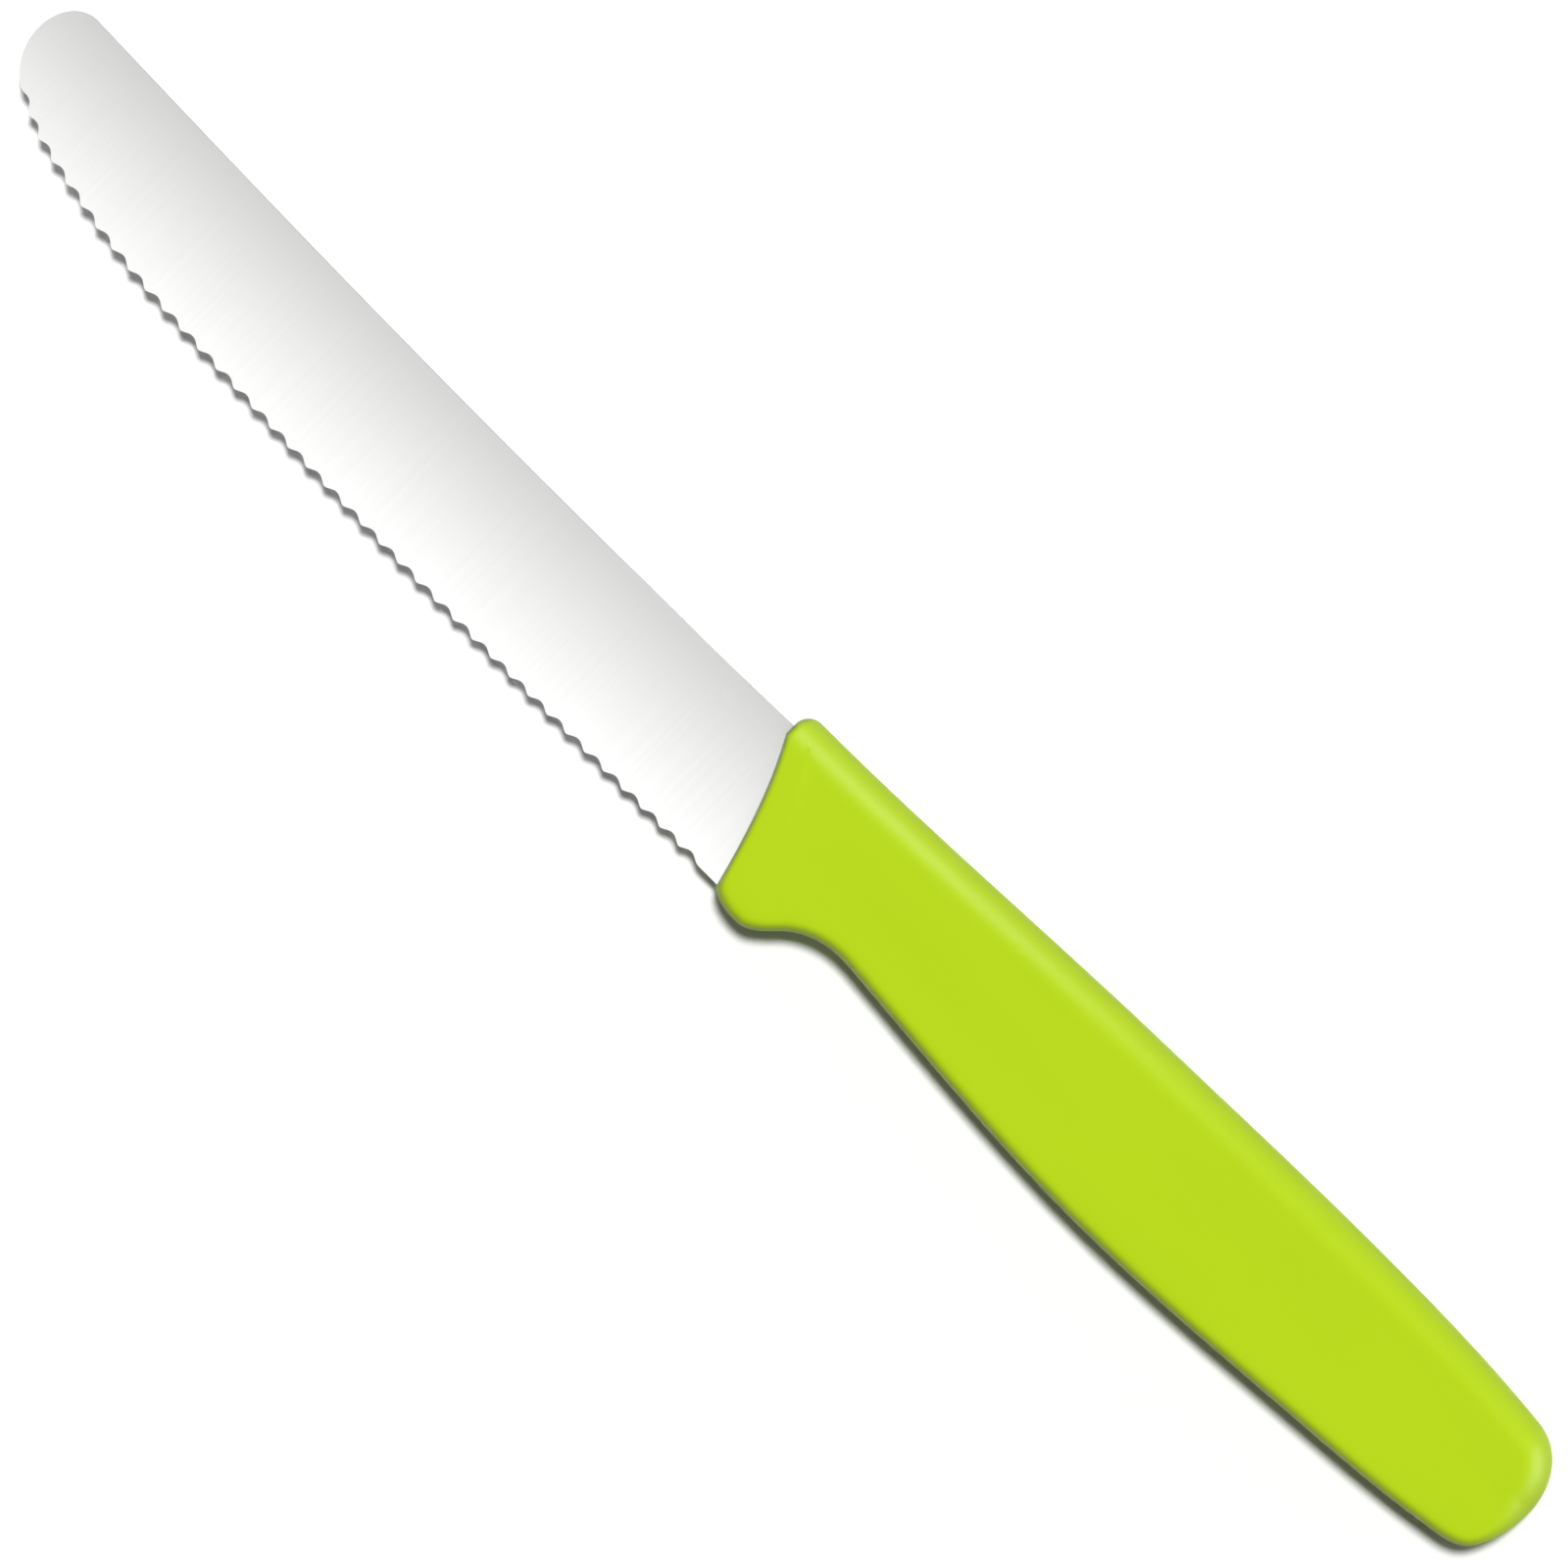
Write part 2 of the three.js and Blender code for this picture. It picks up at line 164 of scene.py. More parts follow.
def evenly(knots: list[Knot], steps: int) -> np.ndarray:
    """Samples the line through some knots in even steps.

    Args:
        knots: The knots in their order.
        steps: How many steps the line is sampled in.

    Returns:
        The points, one a row, with both ends.
    """
    fine, _ = trace(knots, knots[0].span_to(knots[-1]) / (FINER * steps), FINE_TURN)
    along = lengths_along(fine)
    wanted = np.linspace(0, along[-1], steps + 1)
    return np.column_stack([np.interp(wanted, along, fine[:, axis]) for axis in range(2)])


def nearest(plan: np.ndarray, line: np.ndarray, values: np.ndarray) -> tuple[np.ndarray, np.ndarray]:
    """Finds how far points of the plan lie from a line, and the values that belong to the line there.

    Args:
        plan: The points, one a row.
        line: The points of the line, one a row.
        values: The values at each point of the line, one row a point.

    Returns:
        The distance of each point of the plan, and the values at the nearest point of the line.
    """
    starts = line[:-1]
    steps = line[1:] - starts
    offsets = plan[:, None] - starts[None]
    share = np.clip((offsets * steps).sum(2) / (steps**2).sum(1), 0, 1)
    gaps = np.linalg.norm(offsets - share[..., None] * steps, axis=2)
    best = gaps.argmin(1)
    rows = np.arange(len(plan))
    best_share = share[rows, best][:, None]
    return gaps[rows, best], values[best] * (1 - best_share) + values[best + 1] * best_share


def unit(ways: np.ndarray) -> np.ndarray:
    """Scales vectors, one a row, to a length of 1."""
    return ways / np.linalg.norm(ways, axis=1)[:, None]


def left_of(ways: np.ndarray) -> np.ndarray:
    """Turns vectors of the plan, one a row, to the left by a right angle."""
    return np.column_stack([-ways[:, 1], ways[:, 0]])


def smooth_step(share: np.ndarray) -> np.ndarray:
    """Eases a share from 0 to 1 at both ends."""
    held = np.clip(share, 0, 1)
    return held * held * (3 - 2 * held)


@dataclass(frozen=True)
class Place:
    """Where the knife's own zero point lies in the frame, in metres."""

    x: float
    y: float
    z: float

    def to_frame(self, points: np.ndarray) -> np.ndarray:
        """Takes points in the knife's millimetres into the frame."""
        return np.array([self.x, self.y, self.z]) + points * METRES


def placed(name: str, data: bpy.types.ID) -> bpy.types.Object:
    """Puts an object into the scene.

    Args:
        name: The name of the object.
        data: The mesh, curve, light or camera that it shows.

    Returns:
        The object.
    """
    made = bpy.data.objects.new(name, data)
    bpy.context.scene.collection.objects.link(made)
    return made


def merge(shell: bmesh.types.BMesh) -> None:
    """Joins the corners of a shell that lie on each other, and removes its faces without width."""
    bmesh.ops.remove_doubles(shell, verts=shell.verts, dist=SLIVER)
    bmesh.ops.dissolve_degenerate(shell, edges=shell.edges, dist=SLIVER)


def lofted(name: str, loops: np.ndarray, place: Place, capped: bool) -> bpy.types.Object:
    """Makes a closed piece from loops of points that follow each other.

    Args:
        name: The name of the piece.
        loops: The loops, each with as many points, in the knife's millimetres.
        place: Where the knife lies in the frame.
        capped: Whether the first and the last loop are closed by a flat face.

    Returns:
        The piece, with its faces outwards.
    """
    rows, count = loops.shape[:2]
    shell = bmesh.new()
    corners = [shell.verts.new(point) for point in place.to_frame(loops.reshape(-1, 3))]
    for row in range(rows - 1):
        for index in range(count):
            low, low_next = row * count + index, row * count + (index + 1) % count
            high, high_next = low + count, low_next + count
            shell.faces.new([corners[spot] for spot in (low, low_next, high_next, high)])
    if capped:
        shell.faces.new(corners[count - 1 :: -1])
        shell.faces.new(corners[-count:])
    merge(shell)
    if shell.calc_volume(signed=True) < 0:
        bmesh.ops.reverse_faces(shell, faces=shell.faces)
    mesh = bpy.data.meshes.new(name)
    shell.to_mesh(mesh)
    shell.free()
    return placed(name, mesh)


def freeze(piece: bpy.types.Object, modifier: bpy.types.Modifier) -> None:
    """Puts what a modifier makes into a piece's own mesh, and removes the modifier.

    Args:
        piece: The piece.
        modifier: The only modifier on it.
    """
    graph = bpy.context.evaluated_depsgraph_get()
    made = bpy.data.meshes.new_from_object(piece.evaluated_get(graph))
    piece.modifiers.remove(modifier)
    rough = piece.data
    piece.data = made
    bpy.data.meshes.remove(rough)
    made.name = piece.name
    shell = bmesh.new()
    shell.from_mesh(made)
    merge(shell)
    shell.to_mesh(made)
    shell.free()


def polish(piece: bpy.types.Object, crease: float) -> None:
    """Shades a piece smooth, apart from the edges that are sharper than an angle.

    Args:
        piece: The piece.
        crease: The angle in degrees.
    """
    piece.data.shade_smooth()
    piece.data.set_sharp_from_angle(angle=math.radians(crease))


class Wire:
    """A number on its way through a node tree. Python's operators on it add Math nodes."""

    def __init__(self, bench: "Bench", socket: bpy.types.NodeSocket | None) -> None:
        """Keeps the bench that adds nodes and the socket that the number comes from."""
        self.bench = bench
        self.socket = socket

    def __add__(self, other: "Operand") -> "Wire":
        """Adds a number."""
        return self.bench.math("ADD", self, other)

    def __radd__(self, other: "Operand") -> "Wire":
        """Adds this to a number."""
        return self.bench.math("ADD", other, self)

    def __sub__(self, other: "Operand") -> "Wire":
        """Takes a number away."""
        return self.bench.math("SUBTRACT", self, other)

    def __rsub__(self, other: "Operand") -> "Wire":
        """Takes this away from a number."""
        return self.bench.math("SUBTRACT", other, self)

    def __mul__(self, other: "Operand") -> "Wire":
        """Multiplies by a number."""
        return self.bench.math("MULTIPLY", self, other)

    def __rmul__(self, other: "Operand") -> "Wire":
        """Multiplies a number by this."""
        return self.bench.math("MULTIPLY", other, self)

    def __truediv__(self, other: "Operand") -> "Wire":
        """Divides by a number."""
        return self.bench.math("DIVIDE", self, other)

    def __rtruediv__(self, other: "Operand") -> "Wire":
        """Divides a number by this."""
        return self.bench.math("DIVIDE", other, self)

    def __pow__(self, other: "Operand") -> "Wire":
        """Raises this to a power."""
        return self.bench.math("POWER", self, other)

    def __rpow__(self, other: "Operand") -> "Wire":
        """Raises a number to this power."""
        return self.bench.math("POWER", other, self)

    def sine(self) -> "Wire":
        """Gives the sine of an angle in radians."""
        return self.bench.math("SINE", self)

    def cosine(self) -> "Wire":
        """Gives the cosine of an angle in radians."""
        return self.bench.math("COSINE", self)

    def floor(self) -> "Wire":
        """Rounds down."""
        return self.bench.math("FLOOR", self)

    def held(self, low: "Operand", high: "Operand") -> "Wire":
        """Keeps the number between two limits."""
        return self.bench.math("MINIMUM", self.bench.math("MAXIMUM", self, low), high)

    def eased(self, low: float, high: float) -> "Wire":
        """Gives 0 at a low value and 1 at a high one, with a smooth rise between them.

        Args:
            low: Where the rise begins.
            high: Where it ends.

        Returns:
            The eased number.
        """
        values = {"Value": self, "From Min": low, "From Max": high}
        return self.bench.add("ShaderNodeMapRange", {"interpolation_type": "SMOOTHSTEP"}, values)

    def within(self, band: Band) -> "Wire":
        """Gives 1 inside a band and 0 outside it.

        Args:
            band: Where the rise begins and ends, and where the fall begins and ends.

        Returns:
            The share of the band.
        """
        return self.eased(*band[:2]) * (1 - self.eased(*band[2:]))


Operand = Wire | float


class Bench:
    """Adds nodes to one tree."""

    def __init__(self, tree: bpy.types.NodeTree) -> None:
        """Keeps the tree."""
        self.tree = tree

    def add(
        self,
        kind: str,
        settings: dict[str, Any] | None = None,
        sockets: dict[str | int, Any] | None = None,
        output: str | int = 0,
    ) -> Wire:
        """Adds a node.

        Args:
            kind: The type of the node.
            settings: The node's own settings, which are set first.
            sockets: The value or link of each input socket, by its name or number.
            output: The output socket that is wanted, by its name or number.

        Returns:
            What comes out of that socket.
        """
        node = self.tree.nodes.new(kind)
        for name, value in (settings or {}).items():
            setattr(node, name, value)
        for key, value in (sockets or {}).items():
            if isinstance(value, Wire):
                self.tree.links.new(value.socket, node.inputs[key])
            else:
                node.inputs[key].default_value = value
        return Wire(self, node.outputs[output] if node.outputs else None)

    def math(self, operation: str, *operands: Operand) -> Wire:
        """Adds a Math node.

        Args:
            operation: What the node works out.
            operands: The numbers that it works on.

        Returns:
            The result.
        """
        return self.add("ShaderNodeMath", {"operation": operation}, dict(enumerate(operands)))

    def vector(self, x: Operand, y: Operand, z: Operand) -> Wire:
        """Joins three numbers to a vector."""
        return self.add("ShaderNodeCombineXYZ", {}, {"X": x, "Y": y, "Z": z})

    def parts(self, vector: Wire) -> tuple[Wire, Wire, Wire]:
        """Takes a vector apart into its three numbers."""
        node = self.add("ShaderNodeSeparateXYZ", {}, {"Vector": vector}).socket.node
        return Wire(self, node.outputs["X"]), Wire(self, node.outputs["Y"]), Wire(self, node.outputs["Z"])

    def noise(self, where: Wire, size: Triple, detail: float = 2.0) -> Wire:
        """Adds a noise.

        Args:
            where: The coordinates in metres.
            size: The size of its marks along each axis, in millimetres.
            detail: How many finer layers it has.

        Returns:
            The noise, from 0 to 1 around a half.
        """
        scale = tuple(1 / (length * METRES) for length in size)
        spot = self.add("ShaderNodeMapping", {}, {"Vector": where, "Scale": scale})
        return self.add("ShaderNodeTexNoise", {}, {"Vector": spot, "Scale": 1.0, "Detail": detail}, "Fac")

    def mix(self, share: Wire, first: Color, second: Color) -> Wire:
        """Mixes two colours.

        Args:
            share: How much of the second colour there is, from 0 to 1.
            first: The first colour.
            second: The second colour.

        Returns:
            The mixed colour.
        """
        sockets = {0: share, 6: (*first, 1.0), 7: (*second, 1.0)}
        return self.add("ShaderNodeMix", {"data_type": "RGBA"}, sockets, 2)

    def bump(self, height: Wire, depth: float) -> Wire:
        """Gives the normals of a relief, from its height as a share of a depth in millimetres."""
        sockets = {"Strength": 1.0, "Distance": depth * METRES, "Height": height}
        return self.add("ShaderNodeBump", {}, sockets)

    def surface(self, sockets: dict[str, Any]) -> None:
        """Ends a material's tree with a Principled surface that has some values or links."""
        made = self.add("ShaderNodeBsdfPrincipled", {}, sockets)
        self.add("ShaderNodeOutputMaterial", {}, {"Surface": made})


def new_material(name: str) -> tuple[bpy.types.Material, Bench]:
    """Makes a material with an empty node tree.

    Args:
        name: The name of the material.

    Returns:
        The material and a bench for its tree.
    """
    material = bpy.data.materials.new(name)
    material.use_nodes = True
    material.node_tree.nodes.clear()
    return material, Bench(material.node_tree)


@dataclass(frozen=True)
class LimePlastic:
    """Lime-green polypropylene, with the satin surface of a sparked mould."""

    color: Color = (0.473, 0.677, 0.0118)
    flow_color: Color = (0.463, 0.665, 0.0112)
    flow_marks: Triple = (34.0, 9.0, 9.0)
    flow_detail: float = 3.0
    flow_rise: tuple[float, float] = (0.35, 0.65)
    grain: Triple = (0.32, 0.32, 0.32)
    grain_depth: float = 0.004
    roughness: float = 0.50
    roughness_swing: float = 0.08
    specular_level: float = 0.15

    def material(self) -> bpy.types.Material:
        """Makes the material.

        Returns:
            The material, with faint flow marks and a fine grain.
        """
        material, bench = new_material("lime_plastic")
        where = bench.add("ShaderNodeTexCoord", output="Object")
        flow = bench.noise(where, self.flow_marks, self.flow_detail)
        grain = bench.noise(where, self.grain)
        bench.surface(
            {
                "Base Color": bench.mix(flow.eased(*self.flow_rise), self.color, self.flow_color),
                "Roughness": self.roughness + (grain - 0.5) * self.roughness_swing,
                "Normal": bench.bump(grain, self.grain_depth),
                "Specular IOR Level": self.specular_level,
            }
        )
        return material


@dataclass(frozen=True)
class BrushedSteel:
    """Stainless steel, brushed across the blade and ground along the edge in the scallops."""

    color: Color = (0.80, 0.80, 0.79)
    streak_color: Color = (0.789, 0.789, 0.779)
    streaks: Triple = (0.55, 40.0, 40.0)
    streak_rise: tuple[float, float] = (0.3, 0.7)
    scratches: Triple = (0.10, 9.0, 9.0)
    scratch_detail: float = 4.0
    grinding: Triple = (9.0, 0.08, 0.08)
    grinding_detail: float = 3.0
    scratch_depth: float = 0.0003
    roughness: float = 0.20
    roughness_swing: float = 0.03
    # How far up the normals of the scallops point.
    facet: Band = (-0.985, -0.955, -0.5, -0.2)

    def material(self) -> bpy.types.Material:
        """Makes the material.

        Returns:
            The material, whose marks change their way in the scallops, which slant downwards.
        """
        material, bench = new_material("brushed_steel")
        where = bench.add("ShaderNodeTexCoord", output="Object")
        _, _, upward = bench.parts(bench.add("ShaderNodeTexCoord", output="Normal"))
        facet = upward.within(self.facet)
        streaks = bench.noise(where, self.streaks)
        scratches = bench.noise(where, self.scratches, self.scratch_detail)
        grinding = bench.noise(where, self.grinding, self.grinding_detail)
        marks = scratches * (1 - facet) + grinding * facet
        bench.surface(
            {
                "Base Color": bench.mix(streaks.eased(*self.streak_rise), self.color, self.streak_color),
                "Metallic": 1.0,
                "Roughness": self.roughness + (marks + streaks - 1) * self.roughness_swing,
                "Normal": bench.bump(marks, self.scratch_depth),
            }
        )
        return material


class GrindingTree:
    """A Geometry Nodes tree that cuts a tool out of a piece, many times or along a path."""

    SOCKETS: dict[type, str] = {
        int: "NodeSocketInt",
        float: "NodeSocketFloat",
        tuple: "NodeSocketVector",
        bpy.types.Object: "NodeSocketObject",
        bpy.types.Material: "NodeSocketMaterial",
    }

    def __init__(self, name: str, values: dict[str, Any]) -> None:
        """Makes the tree with an input for each value.

        Args:
            name: The name of the tree.
            values: The values by the names of their inputs. One of them is the Finish, a material.
        """
        tree = bpy.data.node_groups.new(name, "GeometryNodeTree")
        tree.interface.new_socket("Piece", in_out="INPUT", socket_type="NodeSocketGeometry")
        tree.interface.new_socket("Cut Piece", in_out="OUTPUT", socket_type="NodeSocketGeometry")
        for label, value in values.items():
            tree.interface.new_socket(label, in_out="INPUT", socket_type=self.SOCKETS[type(value)])
        self.values = values
        self.bench = Bench(tree)

    def given(self, name: str) -> Wire:
        """Gives one of the tree's inputs."""
        return self.bench.add("NodeGroupInput", output=name)

    def cut(self, piece: bpy.types.Object, tools: Wire) -> None:
        """Ends the tree, runs it on a piece and freezes the result.

        Args:
            piece: The piece that is cut.
            tools: The instances of the tool, or the room that it passes through.
        """
        sockets = {"Mesh 1": self.given("Piece"), "Mesh 2": tools}
        settings = {"operation": "DIFFERENCE", "solver": "MANIFOLD"}
        made = self.bench.add("GeometryNodeMeshBoolean", settings, sockets)
        plain = self.bench.add("GeometryNodeRealizeInstances", {}, {"Geometry": made})
        dressed = {"Geometry": plain, "Material": self.given("Finish")}
        result = self.bench.add("GeometryNodeSetMaterial", {}, dressed)
        self.bench.add("NodeGroupOutput", {}, {"Cut Piece": result})
        tree = self.bench.tree
        modifier = piece.modifiers.new(tree.name, "NODES")
        modifier.node_group = tree
        for item in tree.interface.items_tree:
            if item.name in self.values:
                modifier[item.identifier] = self.values[item.name]
        freeze(piece, modifier)


@dataclass
class Blade:
    """The stamped and ground blade with its tang."""

    reach: float = 104.85
    spine_height: float = 5.05
    spine_dip: float = 0.8
    edge_depth: float = 12.1
    stock: float = 1.2
    edge_thickness: float = 0.5
    grind_curve: float = 2.0
    spine_ease: float = 0.06
    ease_limit: float = 0.25
    ease_shares: tuple[float, ...] = (0.0, 0.1, 0.35, 1.0)
    tip_spine_back: float = 3.9
    tip_spine_rise: float = 0.52
    nose_height: float = 0.9
    # Points of the edge: the way back from the tip, the rise over the edge at the handle, and the heading.
    edge_start: Triple = (2.2, 8.0, -41.0)
    edge_curve: Triple = (16.0, 3.07, -11.6)
    edge_level: Triple = (42.0, 0.84, -2.74)
    tooth_pitch: float = 2.71
    tooth_depth: float = 0.58
    tooth_power: float = 0.75
    tooth_steps: int = 28
    scallop_angle: float = 22.0
    heel_plain: float = 2.95
    run_out: float = 1.6
    tool_reach: float = 5.0
    edge_run: float = 6.0
    heel_length: float = 0.4
    heel_round: float = 1.8
    spine_run: float = 6.0
    spine_step: float = 5.0
    tang_top: float = 4.05
    tang_bottom: float = -5.52
    tang_end: float = 72.0
    tang_round: float = 3.0
    hole_count: int = 3
    hole_diameter: float = 5.0
    hole_setback: float = 12.0
    hole_sides: int = 64
    # The steps of a border at the nose, along the blade, at the heel, along the tang and at its end.
    steps: tuple[int, ...] = (24, 300, 30, 60, 14)
    path_steps: int = 600
    rows: int = 22
    crease: float = 12.0
    finish: BrushedSteel = field(default_factory=BrushedSteel)

    @property
    def heel_run(self) -> float:
        """Where the heel ends inside the handle."""
        return self.edge_run + self.heel_length + self.heel_round

    @property
    def tang_start(self) -> float:
        """Where the tang begins behind the heel."""
        return self.heel_run + self.heel_round

    @property
    def tang_middle(self) -> float:
        """The height of the tang's middle line."""
        return (self.tang_top + self.tang_bottom) / 2

    def edge_knots(self) -> list[Knot]:
        """Gives the line through the tips of the teeth.

        Returns:
            Its knots, from the tip of the blade to the end of the edge inside the handle.
        """
        marks = (self.edge_start, self.edge_curve, self.edge_level)
        knots = [Knot(back - self.reach, rise - self.edge_depth, heading) for back, rise, heading in marks]
        return [*knots, Knot(self.edge_run, -self.edge_depth, 0)]

    def border_pieces(self, side: Side) -> list[list[Knot]]:
        """Gives one border of the blank, from the foremost point of the tip to the middle of the tang's end.

        Args:
            side: Which border.

        Returns:
            The knots of its pieces, which match the pieces of the other border.
        """
        end = self.tang_end
        middle = self.tang_middle
        if side is Side.SPINE:
            slope = math.degrees(math.atan(4 * self.spine_dip / self.reach))
            nose = Knot(-self.reach, self.nose_height, 90)
            tip = Knot(self.tip_spine_back - self.reach, self.spine_height + self.tip_spine_rise, -slope)
            shoulder = Knot(0, self.spine_height, slope)
            step = Knot(self.spine_run, self.spine_height, 0)
            tang = Knot(self.spine_run + self.spine_step, self.tang_top, 0)
            turn = Knot(end - self.tang_round, self.tang_top, 0)
            corner = Knot(end, self.tang_top - self.tang_round, -90)
            last = Knot(end, middle, -90)
            return [[nose, tip], [tip, shoulder, step], [step, tang], [tang, turn], [turn, corner, last]]
        nose = Knot(-self.reach, self.nose_height, -90)
        edge = self.edge_knots()
        heel = [
            edge[-1],
            Knot(self.heel_run - self.heel_round, -self.edge_depth, 0),
            Knot(self.heel_run, self.heel_round - self.edge_depth, 90),
            Knot(self.heel_run, self.tang_bottom - self.heel_round, 90),
            Knot(self.tang_start, self.tang_bottom, 0),
        ]
        turn = Knot(end - self.tang_round, self.tang_bottom, 0)
        corner = Knot(end, self.tang_bottom + self.tang_round, 90)
        return [[nose, edge[0]], edge, heel, [heel[-1], turn], [turn, corner, Knot(end, middle, 90)]]

    def border(self, side: Side, grow: float) -> np.ndarray:
        """Samples one border of the blank.

        Args:
            side: Which border.
            grow: How far it is moved outwards.

        Returns:
            The points, one a row, as many as on the other border.
        """
        pieces = [evenly(knots, steps) for knots, steps in zip(self.border_pieces(side), self.steps)]
        points = np.vstack([pieces[0][:1], *(piece[1:] for piece in pieces)])
        along = np.gradient(points, axis=0)
        along[0] = (0, side.value)
        along[-1] = (0, -side.value)
        return points + left_of(unit(along)) * side.value * grow

    def half_steel(self, plan: np.ndarray) -> np.ndarray:
        """Gives half of the steel's thickness, which the grind takes down to the edge.

        Args:
            plan: Points of the plan, in rows of any shape.

        Returns:
            The half thickness at each of them.
        """
        share = np.clip((self.spine_height - plan[..., 1]) / (self.spine_height + self.edge_depth), 0, 1)
        ground = 1 - smooth_step((plan[..., 0] - self.edge_run) / (self.tang_start - self.edge_run))
        return self.stock / 2 - ground * share**self.grind_curve * (self.stock - self.edge_thickness) / 2

    def blank(self, name: str, place: Place, grow: float = 0.0) -> bpy.types.Object:
        """Makes the ground blank without its holes and teeth.

        Args:
            name: The name of the piece.
            place: Where the knife lies in the frame.
            grow: A clearance that is grown on it all round.

        Returns:
            The piece.
        """
        upper = self.border(Side.SPINE, grow)
        lower = self.border(Side.EDGE, grow)
        width = np.linalg.norm(lower - upper, axis=1)[:, None]
        ease = np.minimum(self.spine_ease, width * self.ease_limit)
        eased = np.array(self.ease_shares)
        inner = np.linspace(0, 1, self.rows + 1)[1:]
        across = np.hstack([ease * eased, ease + (width - ease) * inner])
        share = across / np.maximum(width, TINY)
        plan = upper[:, None] + (lower - upper)[:, None] * share[..., None]
        drop = np.hstack([ease * (1 - np.sqrt(1 - (1 - eased) ** 2)), np.zeros((len(width), self.rows))])
        height = self.half_steel(plan) + grow - drop
        top = np.dstack([plan, height])
        bottom = np.dstack([plan, -height])[:, ::-1]
        return lofted(name, np.hstack([top, bottom]), place, capped=False)

    def edge_path(self, place: Place) -> bpy.types.Object:
        """Makes the line along which the scallops are ground, from ahead of the first tooth into the handle.

        Args:
            place: Where the knife lies in the frame.

        Returns:
            A curve through the tips of the teeth, at the height of the upper face over half of their depth.
        """
        points = evenly(self.edge_knots(), self.path_steps)
        onward = unit(points[1:2] - points[:1])
        points = np.vstack([points[:1] - onward * self.run_out, points])
        halfway = points + left_of(unit(np.gradient(points, axis=0))) * self.tooth_depth / 2
        line = place.to_frame(np.column_stack([points, self.half_steel(halfway)]))
        curve = bpy.data.curves.new("edge_path", "CURVE")
        curve.dimensions = "3D"
        spline = curve.splines.new("POLY")
        spline.points.add(len(line) - 1)
        spline.points.foreach_set("co", np.column_stack([line, np.ones(len(line))]).ravel())
        return placed("edge_path", curve)

    def punch(self, piece: bpy.types.Object, place: Place, shrink: float, finish: bpy.types.Material) -> None:
        """Cuts the holes of the tang.

        Args:
            piece: The blank.
            place: Where the knife lies in the frame.
            shrink: How much narrower than the tang's own the holes are all round.
            finish: The finish of the piece.
        """
        first = self.tang_start + self.hole_setback
        last = self.tang_end - self.hole_setback
        start = place.to_frame(np.array([first, self.tang_middle, 0]))
        tree = GrindingTree(
            "tang_holes",
            {
                "First Hole": tuple(start),
                "Hole Step": ((last - first) / (self.hole_count - 1) * METRES, 0.0, 0.0),
                "Hole Count": self.hole_count,
                "Radius": (self.hole_diameter / 2 - shrink) * METRES,
                "Punch Length": 2 * self.tool_reach * METRES,
                "Punch Sides": self.hole_sides,
                "Finish": finish,
            },
        )
        row = {
            "Count": tree.given("Hole Count"),
            "Start Location": tree.given("First Hole"),
            "Offset": tree.given("Hole Step"),
        }
        spots = tree.bench.add("GeometryNodeMeshLine", {"mode": "OFFSET"}, row)
        shape = {
            "Vertices": tree.given("Punch Sides"),
            "Radius": tree.given("Radius"),
            "Depth": tree.given("Punch Length"),
        }
        punch = tree.bench.add("GeometryNodeMeshCylinder", {}, shape)
        places = {"Points": spots, "Instance": punch}
        tree.cut(piece, tree.bench.add("GeometryNodeInstanceOnPoints", {}, places))

    def scallop(self, piece: bpy.types.Object, place: Place, steel: bpy.types.Material) -> None:
        """Grinds the scallops into the right side of the edge with a slanted wheel.

        Args:
            piece: The blank.
            place: Where the knife lies in the frame.
            steel: The finish of the piece.
        """
        line = self.edge_path(place)
        tree = GrindingTree(
            "scallops",
            {
                "Edge Path": line,
                "Pitch": self.tooth_pitch * METRES,
                "Tooth Depth": self.tooth_depth * METRES,
                "Tooth Power": self.tooth_power,
                "Tooth Steps": self.tooth_steps,
                "Scallop Angle": math.radians(self.scallop_angle),
                "Plain Heel": self.heel_plain * METRES,
                "Run Out": self.run_out * METRES,
                "Wheel Reach": self.tool_reach * METRES,
                "Finish": steel,
            },
        )
        bench = tree.bench
        pitch = tree.given("Pitch")
        angle = tree.given("Scallop Angle")
        plain = tree.given("Plain Heel")
        run_out = tree.given("Run Out")
        reach = tree.given("Wheel Reach")
        path = bench.add("GeometryNodeObjectInfo", {}, {"Object": tree.given("Edge Path")}, "Geometry")
        length = bench.add("GeometryNodeCurveLength", {}, {"Curve": path})
        count = ((length - run_out - plain) / pitch).floor()
